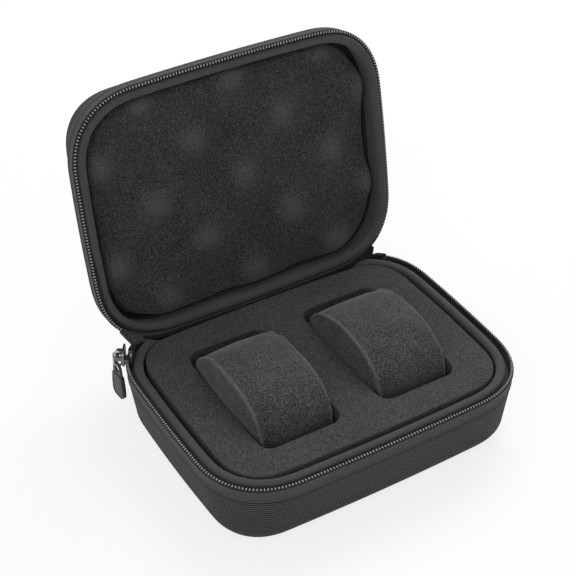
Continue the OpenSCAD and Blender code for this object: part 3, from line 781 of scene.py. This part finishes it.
def small_piece(name, points, faces, tops=None):
    """A mesh that a tree copies. It is removed once the copies are real."""
    mesh = bpy.data.meshes.new(name)
    mesh.from_pydata([tuple(c * MM for c in p) for p in points], [], faces)
    if tops:
        mesh.attributes.new("top", "FLOAT", "POINT").data.foreach_set("value", tops)
    work = bmesh.new()
    work.from_mesh(mesh)
    bmesh.ops.recalc_face_normals(work, faces=work.faces)
    work.to_mesh(mesh)
    work.free()
    made = bpy.data.objects.new(name, mesh)
    bpy.context.scene.collection.objects.link(made)
    return made


# %% The two rows of teeth
def zip_path(offset, height, rolled=(0.0, 0.0)):
    """The path of the zip from its left end round the front to its right end."""
    dense = np.linspace(0, around_mm, 2400, endpoint=False)
    points = at_lengths(close_outline(offset), dense)
    moved = at_lengths(close_outline(offset + rolled[0]), dense)
    weight = smooth_step((points[:, 0] - 48) / 18)[:, None]
    points = points * (1 - weight) + moved * weight
    heights = height + rolled[1] * weight[:, 0]
    start = int(np.argmax((points[:, 1] < zip_end_y) & (np.roll(points[:, 1], 1) >= zip_end_y)))
    path = np.roll(np.column_stack([points, heights]), -start, 0)
    return path[path[:, 1] < zip_end_y]


arch = small_piece("coil_arch", *arch_mesh())
base_teeth = repeated("base_zip_teeth", zip_path(0.2, base_h + 0.1), False, arch, coil_nylon,
                      tooth_pitch, "base")
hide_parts("base_zip_coil")
lid_teeth = repeated("lid_zip_teeth", zip_path(0.15, lid_h + 0.1, (0.25, -0.9)), False, arch,
                     coil_nylon, tooth_pitch, "lid", lid=True)
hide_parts("lid_zip_coil")
bpy.data.objects.remove(arch)

# %% [markdown]
# Between the loops one sees the dark cord that the coil is wound on. It is a plain tube swept along
# the same path, a little below the tops of the loops, and it makes each loop read as a bead.

# %% The cord inside each coil
def zip_cord(name, path_mm, radius_mm, body, lid):
    sides, rings = 8, []
    path = np.asarray(path_mm)[::4]
    ahead = np.gradient(path, axis=0)
    ahead /= np.linalg.norm(ahead, axis=1)[:, None]
    out = np.column_stack([ahead[:, 1], -ahead[:, 0], np.zeros(len(path))])
    for j in range(sides):
        a = 2 * math.pi * j / sides
        rings.append(path + out * radius_mm * math.cos(a) + [0, 0, radius_mm * math.sin(a)])
    n = len(path)
    points = np.concatenate(rings)
    faces = [(j * n + i, j * n + i + 1, ((j + 1) % sides) * n + i + 1, ((j + 1) % sides) * n + i)
             for j in range(sides) for i in range(n - 1)]
    faces.append(tuple(j * n for j in range(sides)))
    faces.append(tuple(j * n + n - 1 for j in range(sides)))
    made = mesh_object(name, points, faces, zip_core, body, None, lid)


zip_cord("base_zip_core", zip_path(0.15, base_h - 0.95), 0.84, "base", False)
zip_cord("lid_zip_core", zip_path(0.1, lid_h - 0.95, (0.25, -0.9)), 0.84, "lid", True)

# %% [markdown]
# ## Stitches
# A row of stitches holds the tape above its seam. Each stitch is a short thread with tapered
# ends, repeated by the same tree.

# %% Stitches on the tape
def stitch_mesh(length=1.9, thick=0.13):
    rings = [(-0.5, 0.25), (-0.32, 0.9), (0.0, 1.0), (0.32, 0.9), (0.5, 0.25)]
    points, sides = [], 6
    for t, fat in rings:
        for j in range(sides):
            a = 2 * math.pi * j / sides
            points.append((math.cos(a) * thick * fat, t * length, math.sin(a) * thick * fat))
    return points, tube_faces(len(rings), sides)


stitch = small_piece("one_stitch", *stitch_mesh())
for half, tall, on_lid in (("base", base_h, False), ("lid", lid_h, True)):
    sewn = repeated(half + "_tape_stitches", zip_path(0.64, tall - seam_drop + 1.9), False, stitch,
                    sewing_thread, stitch_pitch, half, lid=on_lid)
bpy.data.objects.remove(stitch)

# %% [markdown]
# ## The foam tray
# The tray is cut from a sheet of smooth foam, and a cut edge is never quite sharp. A flat curve
# with two holes, given a depth and a small bevel, makes the whole block at once.

# %% The tray
def flat_spline(curve, points):
    spline = curve.splines.new("POLY")
    spline.points.add(len(points) - 1)
    for place, (x, y) in zip(spline.points, points):
        place.co = (x * MM, y * MM, 0, 1)
    spline.use_cyclic_u = True


def slot_points(x, steps=12):
    points = []
    for q, (sx, sy) in enumerate(((1, -1), (1, 1), (-1, 1), (-1, -1))):
        for a in np.radians(np.linspace(90 * q - 90, 90 * q, steps)):
            points.append((x + sx * (slot_w / 2 - slot_r) + slot_r * math.cos(a),
                           tray_y + sy * (slot_l / 2 - slot_r) + slot_r * math.sin(a)))
    return points


def block_mesh(name, outlines, low, high, edge, finish):
    """The mesh of a block with rounded edges, from a flat outline and its holes."""
    curve = bpy.data.curves.new(name, "CURVE")
    curve.dimensions = "2D"
    curve.fill_mode = "BOTH"
    for points in outlines:
        flat_spline(curve, points)
    curve.offset = -edge * MM
    curve.bevel_depth = edge * MM
    curve.bevel_resolution = 4
    curve.extrude = (high - low) / 2 * MM - edge * MM
    work = bpy.data.objects.new(name, curve)
    bpy.context.scene.collection.objects.link(work)
    bpy.context.view_layer.update()
    graph = bpy.context.evaluated_depsgraph_get()
    mesh = bpy.data.meshes.new_from_object(work.evaluated_get(graph))
    bpy.data.objects.remove(work)
    mesh.transform(Matrix.Translation((0, 0, (low + high) / 2 * MM)))
    tidy = bmesh.new()
    tidy.from_mesh(mesh)
    bmesh.ops.remove_doubles(tidy, verts=tidy.verts, dist=1e-6)
    bmesh.ops.recalc_face_normals(tidy, faces=tidy.faces)
    tidy.to_mesh(mesh)
    tidy.free()
    mesh.materials.clear()
    mesh.materials.append(finish)
    return mesh


def cut_block(name, outlines, low, high, edge, finish, body):
    """Such a block as an object that rides on a body."""
    mesh = block_mesh(name, outlines, low, high, edge, finish)
    made = bpy.data.objects.new(name, mesh)
    bpy.context.scene.collection.objects.link(made)
    mesh.polygons.foreach_set("use_smooth", [True] * len(mesh.polygons))
    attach(made, body)
    return made


tray_rim = at_lengths(close_outline(-insert_in, corner_tuck - 0.5), even[::2])
tray = cut_block("foam_tray", [tray_rim, slot_points(-slot_step / 2), slot_points(slot_step / 2)],
                 pad_top, insert_top, 0.8, insert_foam, "base")
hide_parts("foam_insert")
pad_rim = at_lengths(close_outline(skin_o - wall_lean - base_fillet - loose_gap, corner_tuck), even[::3])
floor_pad = cut_block("tray_floor_pad", [pad_rim], floor_z, pad_top, 0.8, insert_foam, "base")
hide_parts("insert_floor_pad")

# %% [markdown]
# ## Pillows
# Each pillow is a stuffed velvet roll: a wide strip goes round it, and a panel closes each end.
# The strip and panel meet in a sewn edge, so the roll is full in the middle, draws in at that
# edge and the panel bulges a little. The surface then gets soft, slow dents. A short cloth
# simulation with air pressure inside lets the cover find its own fullness.

# %% Letting a stuffed cover settle
def settle(piece, low_mm, cap_mm=1.4, voxel_mm=3.0, frames=20):
    """Inflates a coarse copy of a piece as cloth, then moves the piece's points as the copy moved."""
    scene = bpy.context.scene
    work = bpy.data.objects.new("settle_work", piece.data.copy())
    scene.collection.objects.link(work)
    remesh = work.modifiers.new("remesh", "REMESH")
    remesh.mode, remesh.voxel_size = "VOXEL", voxel_mm * MM
    bpy.context.view_layer.update()
    graph = bpy.context.evaluated_depsgraph_get()
    coarse = bpy.data.meshes.new_from_object(work.evaluated_get(graph))
    soft = bpy.data.objects.new("settle_soft", coarse)
    bpy.data.objects.remove(work)
    scene.collection.objects.link(soft)
    before = np.array([v.co for v in soft.data.vertices])
    cloth = soft.modifiers.new("cloth", "CLOTH")
    cloth.settings.quality = 6
    cloth.settings.mass = 0.15
    cloth.settings.use_pressure = True
    cloth.settings.uniform_pressure_force = 4.0
    cloth.settings.effector_weights.gravity = 0.0
    cloth.point_cache.frame_start, cloth.point_cache.frame_end = 1, frames
    for frame_number in range(1, frames + 1):
        scene.frame_set(frame_number)
    graph = bpy.context.evaluated_depsgraph_get()
    after_mesh = bpy.data.meshes.new_from_object(soft.evaluated_get(graph))
    after = np.array([v.co for v in after_mesh.vertices])
    moved = after - before
    moved -= moved.mean(0)
    far = np.linalg.norm(moved, axis=1)
    moved *= np.minimum(1, cap_mm * MM / np.maximum(far, 1e-9))[:, None]
    scene.frame_set(1)
    bpy.data.objects.remove(soft)
    bpy.data.meshes.remove(after_mesh)
    tree = kdtree.KDTree(len(before))
    for i, place in enumerate(before):
        tree.insert(place, i)
    tree.balance()
    for vertex in piece.data.vertices:
        near = tree.find_n(vertex.co, 6)
        weights = [1 / (distance + 0.0005) for place, i, distance in near]
        shift = sum((Vector(moved[i]) * w for (place, i, distance), w in zip(near, weights)), Vector())
        vertex.co += shift / sum(weights)
        vertex.co.z = max(vertex.co.z, low_mm * MM)
    piece.data.update()
    return float(np.minimum(far, cap_mm * MM).mean()) / MM


# %% Pillows
def pillow(side, body):
    middle = side * slot_step / 2
    half, ry, rz = pillow_w / 2, pillow_l / 2, pillow_h / 2
    low = pad_top + loose_gap
    centre_z = low + rz - pillow_flat
    around_n, power = 96, 0.87
    turn = np.linspace(0, 2 * np.pi, around_n, endpoint=False)
    cy = np.sign(np.cos(turn)) * np.abs(np.cos(turn)) ** power
    cz = np.sign(np.sin(turn)) * np.abs(np.sin(turn)) ** power
    # The third number of each row marks the seam ridge, where the velvet's colour gets a painted
    # highlight.
    strip = [(0.0, 0.0, 0), (4.0, 0.02, 0), (8.0, 0.1, 0), (11.5, 0.25, 0), (14.0, 0.45, 0),
             (15.6, 0.62, 0), (16.6, 0.7, 0.1), (17.15, 0.55, 0.6), (17.6, 0.35, 1.0),
             (18.05, 0.45, 1.0), (18.3, 0.85, 0.7), (18.3, 1.4, 0.15)]
    panel = [(half - 0.65 + 0.55 * math.sin(t), 1.9 + 12.0 * (1 - math.cos(t)), 0)
             for t in np.linspace(0.12, math.pi / 2, 9)]
    profile = strip + panel
    rows = [(-x, g, e) for x, g, e in reversed(profile)] + profile[1:]
    n = around_n
    points = np.concatenate([np.column_stack([np.full(n, middle + x), tray_y + (ry - g) * cy,
                                              centre_z + (rz - g) * cz]) for x, g, e in rows])
    seam = [e for x, g, e in rows for i in range(n)]
    faces = [(k * n + i, k * n + (i + 1) % n, (k + 1) * n + (i + 1) % n, (k + 1) * n + i)
             for k in range(len(rows) - 1) for i in range(n)]
    rings = [points]
    for first, sign in ((0, -1), ((len(rows) - 1) * n, 1)):
        rim = points[first:first + n]
        centre = rim.mean(0)
        last, count = first, sum(len(r) for r in rings)
        for share in (0.8, 0.6, 0.4, 0.2):
            ring = centre + (rim - centre) * share + [sign * 0.15 * (1 - share), 0, 0]
            rings.append(ring)
            seam += [0] * n
            faces += [(last + i, last + (i + 1) % n, count + (i + 1) % n, count + i) for i in range(n)]
            last, count = count, count + n
        rings.append((centre + [sign * 0.15, 0, 0])[None, :])
        seam.append(0)
        faces += [(last + i, last + (i + 1) % n, count) for i in range(n)]
    points = np.concatenate(rings)
    for p in points:
        slow = noise.noise(Vector((p[0] / 9 + side * 7, p[1] / 9, p[2] / 9)))
        fine = noise.noise(Vector((p[0] / 3.5, p[1] / 3.5 + side * 3, p[2] / 3.5)))
        out = Vector((0.25 * (p[0] - middle), p[1] - tray_y, p[2] - centre_z)).normalized()
        p += np.array(out) * (slow * 0.5 + fine * 0.12 - 0.2)
        p[2] = max(p[2], low)
    name = "pillow_" + body.split("_")[1]
    made = mesh_object(name, points, faces, velvet, body)
    # The seam attribute carries the painted highlight on the seam ridge to the velvet.
    layer = made.data.attributes.new("seam", "FLOAT", "POINT")
    layer.data.foreach_set("value", np.array(seam, np.float32))
    moved = settle(made, low)
    print(made.name, f"settled by {moved:.2f} mm on average")
    smooth = made.modifiers.new("smooth", "SUBSURF")
    smooth.levels = smooth.render_levels = 1
    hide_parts(body + "_cover", body + "_core")
    return made


for side, body in ((-1, "pillow_left"), (1, "pillow_right")):
    made = pillow(side, body)
    print(made.name, "top at", round(max(v.co.z for v in made.data.vertices) / MM, 1), "mm")

# %% [markdown]
# ## Egg-crate foam in the lid
# The foam that presses the watches down is cut in staggered lumps. Its surface is a height
# field: two cosines multiplied, with the lumps sharpened and small random changes to each. The
# block's edge follows the lid's inner wall.

# %% Egg-crate foam
def lump_height(x, y):
    """Height of the foam's lumps above its middle level."""
    f = (np.cos(2 * np.pi * (x - lump_mid[0]) / lump_x)
         * np.cos(np.pi * (y - lump_mid[1]) / lump_y))
    return lump_h * np.where(f > 0, np.abs(f) ** 1.3, 0.3 * f)


def egg_crate(rings=52):
    depth = fabric_t + shell_t + lining_t + loose_gap
    rows = wall_loops(depth, lid_fillet, lid_fillet, lid_h)[:10]
    level = lid_h - lump_drop - 3.2
    loops = [loop(*row) for row in rows]
    side = loop(-6.6, 0, 0.0)[:, :2]
    edge_lump = lump_height(side[:, 0], side[:, 1])
    wavy = np.array([noise.noise(Vector((x / 15, y / 15, 2.0))) for x, y in side])
    inwards = 1 - (0.9 - edge_lump * 0.25 + wavy * 0.9)[:, None] / np.linalg.norm(side, axis=1)[:, None]
    ragged = side * inwards
    loops.append(np.column_stack([side, np.full(AROUND, lid_h - band_depth - 0.5)]))
    loops.append(np.column_stack([ragged, np.full(AROUND, level - 4.0)]))
    lump_top_highlight, tops = [np.zeros(AROUND)] * len(loops), []
    for k in range(rings):
        flat = ragged * (1 - k / rings)
        lump = lump_height(flat[:, 0], flat[:, 1])
        height = level + lump * min(1.0, 0.5 + k / 5) * 0.72 - 1.3 * math.exp(-k / 0.9)
        for i in range(AROUND):
            place = Vector((flat[i, 0] / 22, flat[i, 1] / 22, 0.5))
            height[i] += 0.7 * noise.noise(place) + 0.3 * noise.noise(place * 4.5)
        tops.append(np.column_stack([flat, height]))
        # The lump attribute marks the tops of the lumps, where the foam's colour gets a painted
        # highlight.
        lump_top_highlight.append(np.clip(lump / lump_h, 0, 1) ** 2)
    points, faces, _ = between(loops + tops)
    centre = float(lump_height(np.array(0.0), np.array(0.0)))
    middle = np.array([[0, 0, level + centre * 0.72]])
    last = len(points) - AROUND
    points = np.concatenate([points, middle])
    lump_top_highlight.append(np.array([max(0.0, centre / lump_h) ** 2]))
    faces += [(last + i, last + (i + 1) % AROUND, len(points) - 1) for i in range(AROUND)]
    faces.append(tuple(range(AROUND - 1, -1, -1)))
    made = mesh_object("egg_crate_foam", points, faces, egg_foam, "lid", None, True)
    layer = made.data.attributes.new("lump", "FLOAT", "POINT")
    layer.data.foreach_set("value", np.concatenate(lump_top_highlight).astype(np.float32))
    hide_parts("egg_crate_pad")
    return made


egg_crate_piece = egg_crate()
crown_up = to_lid(np.array([[0, 0, 0.0], [0, 0, 1.0]]))
crown = Vector(to_lid(np.array([[0, 0, floor_z]]))[0]) * MM
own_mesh(egg_crate_piece)

# %% [markdown]
# ## Hinge cloth
# One strip of cloth joins the halves along the back. With the lid open it folds forward into
# the gap.

# %% Hinge cloth
def on_open_lid(x, y, z):
    """A point of the closed lid, at height z, where it is with the lid open."""
    back, up = y - hinge_y, z - hinge_z
    c, s = math.cos(lid_open), math.sin(lid_open)
    return (x, hinge_y + back * c + up * s, hinge_z - back * s + up * c)


def back_stations(offset, first, last, count):
    """Points of the outline from one distance along its back half to another, left to right."""
    line = close_outline(offset)
    line = line[(line[:, 1] > 40) | (np.abs(line[:, 0]) > 60)]
    line = line[line[:, 1] > 0]
    turn = np.arctan2(line[:, 0], line[:, 1])
    order = np.argsort(turn)
    wanted = np.linspace(first, last, count)
    return np.column_stack([np.interp(wanted, turn[order], line[order, k]) for k in (0, 1)])


def fold_cloth(name, first, last, count, tuck_in=0.0, finish=hinge_cloth):
    """Cloth from the base's rim to the open lid's rim, between two bearings seen from the middle.
    tuck_in folds its middle into the case, as a bellows."""
    outer = back_stations(skin_o - 0.1, first, last, count)
    inner = back_stations(skin_o + 0.95, first, last, count)
    rows = []
    for (x, y), (xi, yi) in zip(outer, inner):
        dip = float(at_hinge(np.array([[x, y, 0.0]]))[0])
        low = np.array((x, y, base_h - 1.6 - (seam_drop - 2.2) * dip))
        lid_edge = np.array(on_open_lid(x, y, base_h + zip_gap + coil_top + 0.3))
        under = np.array(on_open_lid(xi, yi, base_h + zip_gap + coil_top - 1.1))
        fold = low * 0.5 + under * 0.5 - [0, 0, 0.5]
        fold -= np.array([x, y, 0]) / math.hypot(x, y) * tuck_in
        path = [low, fold, under, lid_edge]
        ring = []
        for i in range(3):
            for t in np.arange(4) / 4:
                ring.append(path[i] * (1 - t) + path[i + 1] * t)
        ring.append(path[-1])
        rows.append(np.array(ring))
    n = len(rows[0])
    faces = [(k * n + i, (k + 1) * n + i, (k + 1) * n + i + 1, k * n + i + 1)
             for k in range(len(rows) - 1) for i in range(n - 1)]
    made = mesh_object(name, np.concatenate(rows), faces, finish, None)
    widths = [np.linalg.norm(np.diff(ring, axis=0), axis=1).sum() for ring in rows]
    middle_line = np.array([ring[n // 2] for ring in rows])
    long_mm = np.linalg.norm(np.diff(middle_line, axis=0), axis=1).sum()
    print(name, f"{long_mm:.0f} mm long, {np.mean(widths):.1f} mm wide")
    thick = made.modifiers.new("thickness", "SOLIDIFY")
    thick.thickness, thick.offset = 0.5 * MM, 0.0
    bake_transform(made)
    return made


hinge_fold_cloth = fold_cloth("hinge_cloth_fold", -0.805, 0.805, 61)
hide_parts("hinge_fold")
left_corner = fold_cloth("hinge_corner_left", -0.95, -0.8, 9, 3.0, corner_cloth)
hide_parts("gusset_left")
# The two corners are the same cloth: the left has the lighter corner cloth, and the right the dark hinge
# cloth as painted shade.
right_corner = fold_cloth("hinge_corner_right", 0.8, 0.885, 7, 3.0)
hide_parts("gusset_right")

# %% [markdown]
# ## The zip pull
# The pull is a plate of dark rubber on a wire link: a thin eye above, a thicker body that widens
# to a rounded foot, and a low rim round each bare face. Three blocks with rounded edges make it.
# It hangs where the CAD's tab hangs, turned 6 degrees more towards the front and half a millimetre
# further out, so that it clears the wall when it swings in.

# %% The rubber tab
def arc(x, y, r, first, last, steps=8):
    turns = np.radians(np.linspace(first, last, steps))
    return [(x + r * math.cos(a), y + r * math.sin(a)) for a in turns]


def tab_points(inset=0.0, eye=False):
    """The tab's flat outline, its pivot at 0, 0."""
    foot, half, corner = -18.25, 4.75 - inset, 3.0 - inset
    points = arc(-half + corner, foot + inset + corner, corner, 180, 270)
    points += arc(half - corner, foot + inset + corner, corner, 270, 360)
    points.append((half, -11.25))
    if eye:
        points += arc(0, -1.15, 3.4, 8, 172, 16)
    else:
        points += arc(2.9 - inset * 0.8, -5.9 - inset, 1.2, 10, 90, 6)
        points += arc(-2.9 + inset * 0.8, -5.9 - inset, 1.2, 90, 170, 6)
    points.append((-half, -11.25))
    return points


def rubber_tab():
    eye_hole = arc(0, -1.15, 1.95, 0, 348, 24)
    parts = [block_mesh("tab_eye", [tab_points(0.5, True), eye_hole], -0.6, 0.6, 0.3, pull_rubber),
             block_mesh("tab_plate", [tab_points(0.3)], -0.85, 0.85, 0.35, pull_rubber),
             block_mesh("tab_rim", [tab_points(), tab_points(1.1)], -1.05, 1.05, 0.3, pull_rubber)]
    out = Vector((math.cos(tab_heading), math.sin(tab_heading), 0))
    wide = Vector((-math.sin(tab_heading), math.cos(tab_heading), 0))
    hang = Matrix((wide, (0, 0, 1), out)).transposed().to_4x4()
    hang.translation = Vector(tab_pivot) * MM + out * tab_out * MM
    work = bmesh.new()
    for part in parts:
        work.from_mesh(part)
    mesh = bpy.data.meshes.new("pull_tab_rubber")
    work.to_mesh(mesh)
    work.free()
    mesh.transform(hang)
    mesh.materials.append(pull_rubber)
    mesh.polygons.foreach_set("use_smooth", [True] * len(mesh.polygons))
    made = bpy.data.objects.new("pull_tab_rubber", mesh)
    bpy.context.scene.collection.objects.link(made)
    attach(made, "tab")
    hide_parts("pull_tab")
    return made


tab_piece = rubber_tab()
print("tab faces:", len(tab_piece.data.polygons))

# %% [markdown]
# ## End tabs and hard parts
# A folded tab of cloth closes each end of the zip. It and the slider, the wire link and the two
# pressed shells are the CAD's own pieces, with a finish each.

# %% Small cloth pieces and hard parts
def dress(node, finish):
    """Gives a CAD node a finish in all its slots."""
    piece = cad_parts[node]
    if not piece.data.materials:
        piece.data.materials.append(finish)
    for i in range(len(piece.data.materials)):
        piece.data.materials[i] = finish


for node in ("zip_end_tab_left", "zip_end_tab_right"):
    dress(node, hinge_cloth)
dress("base_shell", foam_core)
dress("lid_shell", foam_core)
dress("slider_body", gunmetal)
dress("pull_link", steel_wire)

# %% [markdown]
# ## Floor, light and camera
# The case stands on plain white. One large soft lamp is above and behind on the right, a wide
# weak one fills the front, and the world gives the rest. The background is white to the camera
# and to reflections alone, so the dark cloth isn't washed out.

# %% Floor
def white_floor():
    f = Finish("studio_floor", Roughness=0.9, **{"Specular IOR Level": 0.0})
    f.colour(grey(252))
    white = f.node("ShaderNodeEmission", {}, {"Strength": 1.0})
    shown = f.node("ShaderNodeMixShader", {}, {0: f.seen_white() * 0.78, 1: f.shader.outputs[0],
                                              2: white.outputs[0]})
    output = [n for n in f.tree.nodes if n.type == "OUTPUT_MATERIAL"][0]
    f.tree.links.new(shown.outputs[0], output.inputs[0])
    size = 4.0
    mesh = bpy.data.meshes.new("studio_floor")
    mesh.from_pydata([(-size, -size, 0), (size, -size, 0), (size, size, 0), (-size, size, 0)], [],
                     [(0, 1, 2, 3)])
    mesh.materials.append(f.material)
    made = bpy.data.objects.new("studio_floor", mesh)
    bpy.context.scene.collection.objects.link(made)


white_floor()


# %% World
class Sky(Finish):
    """The world's node tree, built with the same methods as a material's."""

    def __init__(self, name):
        world = bpy.data.worlds.new(name)
        bpy.context.scene.world = world
        world.use_nodes = True
        self.tree = world.node_tree
        self.tree.nodes.clear()

    def plain(self, strength):
        made = self.node("ShaderNodeBackground", {}, {"Strength": strength, "Color": (1, 1, 1, 1)})
        return made.outputs[0]


def white_world(fill):
    """A weak even light, and plain white wherever it is seen or mirrored."""
    sky = Sky("studio")
    mixed = sky.node("ShaderNodeMixShader", {}, {0: sky.seen_white(), 1: sky.plain(fill),
                                                 2: sky.plain(1.0)})
    sky.node("ShaderNodeOutputWorld", {}, {0: mixed.outputs[0]})


white_world(0.55)


# %% Lamps
def soft_lamp(name, place, aim, size, power):
    data = bpy.data.lights.new(name, "AREA")
    data.shape = "SQUARE"
    data.size = size
    data.energy = power
    lamp = bpy.data.objects.new(name, data)
    lamp.location = place
    lamp.rotation_mode = "QUATERNION"
    lamp.rotation_quaternion = (Vector(aim) - Vector(place)).to_track_quat("-Z", "Y")
    bpy.context.scene.collection.objects.link(lamp)


soft_lamp("key_back_right", (0.7, 0.7, 1.3), (0, 0.02, 0.04), 0.9, 13)
soft_lamp("fill_front_left", (-0.9, -0.9, 0.9), (0, 0, 0.04), 1.0, 5)

# %% [markdown]
# ## Camera
# The camera looks from the front left corner, 38 degrees above the table, through a lens a
# little longer than normal. Its place comes from fitting the rim of the case to the photograph.

# %% Camera
view_azimuth, view_elevation = math.radians(-31.05), math.radians(38.11)
view_target = Vector((15.40, 53.13, 36.0)) * MM
view_distance = 703.57 * MM
back = Vector((math.sin(view_azimuth) * math.cos(view_elevation),
               -math.cos(view_azimuth) * math.cos(view_elevation), math.sin(view_elevation)))
camera_data = bpy.data.cameras.new("camera")
camera_data.sensor_width = 36.0
camera_data.lens = 1457.5 / 576 * 36.0
camera = bpy.data.objects.new("camera", camera_data)
camera.location = view_target + back * view_distance
camera.rotation_mode = "QUATERNION"
camera.rotation_quaternion = (-back).to_track_quat("-Z", "Y")
bpy.context.scene.collection.objects.link(camera)
bpy.context.scene.camera = camera
bpy.context.scene.view_settings.view_transform = "Standard"
